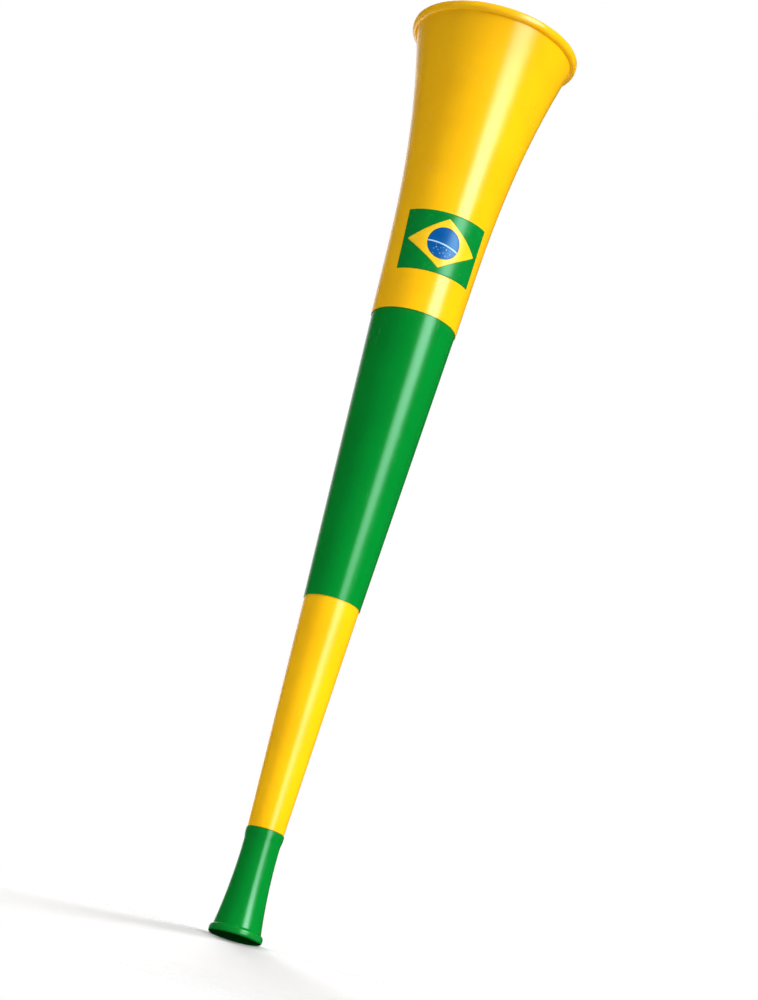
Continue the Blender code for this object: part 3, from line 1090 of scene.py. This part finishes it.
def make_lights():
    """Wall lights from the front right, from behind and from above, and two highlight strips."""
    wall_light("key_light", KEY_AZIMUTH, SIDE_ELEVATION, SIDE_SPREAD, KEY_LIGHT)
    wall_light("back_light", BACK_AZIMUTH, SIDE_ELEVATION, SIDE_SPREAD, BACK_LIGHT)
    wall_light("top_light", TOP_AZIMUTH, TOP_ELEVATION, TOP_SPREAD, TOP_LIGHT)
    highlight_strip("front_strip", FRONT_STRIP_AZIMUTH, FRONT_STRIP_RADIANCE,
                    FRONT_STRIP_CHANGE, FRONT_STRIP_LOW, FRONT_STRIP_HIGH)
    highlight_strip("back_strip", BACK_STRIP_AZIMUTH, BACK_STRIP_RADIANCE,
                    BACK_STRIP_CHANGE, BACK_STRIP_LOW, BACK_STRIP_HIGH)


def make_camera():
    """Camera of the photograph: below the horn, looking up at it and rolled."""
    forward_level = Vector((-math.sin(CAMERA_AZIMUTH), math.cos(CAMERA_AZIMUTH), 0.0))
    right_level = Vector((math.cos(CAMERA_AZIMUTH), math.sin(CAMERA_AZIMUTH), 0.0))
    up = Vector((0.0, 0.0, 1.0))
    forward = forward_level * math.cos(CAMERA_PITCH) + up * math.sin(CAMERA_PITCH)
    head = up * math.cos(CAMERA_PITCH) - forward_level * math.sin(CAMERA_PITCH)
    aim = forward * math.cos(CAMERA_YAW) + right_level * math.sin(CAMERA_YAW)
    side = right_level * math.cos(CAMERA_YAW) - forward * math.sin(CAMERA_YAW)
    top = head * math.cos(CAMERA_ROLL) - side * math.sin(CAMERA_ROLL)
    right = side * math.cos(CAMERA_ROLL) + head * math.sin(CAMERA_ROLL)
    place = -forward_level * CAMERA_DISTANCE + up * CAMERA_HEIGHT
    data = bpy.data.cameras.new("photo_camera")
    data.lens = CAMERA_LENS
    data.clip_start = CAMERA_NEAR
    data.clip_end = CAMERA_FAR
    camera = bpy.data.objects.new("photo_camera", data)
    camera.matrix_world = Matrix((
        (right.x, top.x, -aim.x, place.x), (right.y, top.y, -aim.y, place.y),
        (right.z, top.z, -aim.z, place.z), (0.0, 0.0, 0.0, 1.0)))
    bpy.context.scene.collection.objects.link(camera)
    bpy.context.scene.camera = camera


# The horn

def make_walls():
    """The four moulded pieces, turned finely in place of the CAD nodes."""
    tree = turned_wall_tree()
    plans = [
        ("mouthpiece_moulding", "mouthpiece", "mouthpiece", mouthpiece_outline(), TUBE_SEGMENTS,
         moulded_plastic("green_mouthpiece_plastic", GREEN, GREEN_GLOSS,
                         MOUTHPIECE_IOR, FLANGE_RADIUS * MM, FLANGE_RUB),
         "green_plastic"),
        ("lower_tube", "lower_section", "lower", lower_outline(), TUBE_SEGMENTS,
         moulded_plastic("yellow_lower_plastic", YELLOW, WHITE, TUBE_IOR,
                         LOWER_WIDE_RADIUS * MM, TUBE_RUB),
         "yellow_plastic"),
        ("middle_tube", "middle_section", "middle", middle_outline(), TUBE_SEGMENTS,
         moulded_plastic("green_middle_plastic", GREEN, GREEN_GLOSS, TUBE_IOR,
                         MIDDLE_WIDE_RADIUS * MM, TUBE_RUB),
         "green_plastic"),
        ("bell_moulding", "bell", "bell", bell_outline(), BELL_SEGMENTS,
         moulded_plastic("yellow_bell_plastic", YELLOW, WHITE, TUBE_IOR,
                         LIP_RADIUS * MM, LIP_RUB),
         "yellow_plastic"),
    ]
    for name, cad_node, body, corners, segments, material, slot in plans:
        piece = turned(name, corners, tree, segments, material)
        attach(piece, body)
        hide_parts(cad_node)


def make_flag():
    """The flag, printed on the bell in layers of ink."""
    ink = printed_tree()
    stars = star_field_tree()
    field = printed(field_patch("flag_field"), ink, 0,
                    printed_ink("flag_green_ink", FLAG_GREEN, GREEN_GLOSS))
    rhombus = printed(rhombus_patch("flag_rhombus"), ink, 1,
                      printed_ink("flag_yellow_ink", FLAG_YELLOW))
    disc = printed(disc_patch("flag_disc"), ink, 2,
                   printed_ink("flag_blue_ink", FLAG_BLUE, BLUE_GLOSS))
    white = printed_ink("flag_white_ink", FLAG_WHITE)
    band = printed(band_patch("flag_band"), ink, 3, white)
    dots = star_piece("flag_stars", stars, ink, 3, white)
    slots = ("green_plastic", "yellow_plastic", "yellow_plastic", "yellow_plastic",
             "yellow_plastic")
    for piece, slot in zip((field, rhombus, disc, band, dots), slots):
        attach(piece, "bell")


make_walls()
make_flag()
make_floor()
make_world()
make_lights()
make_camera()
bpy.context.scene.view_settings.view_transform = "Standard"
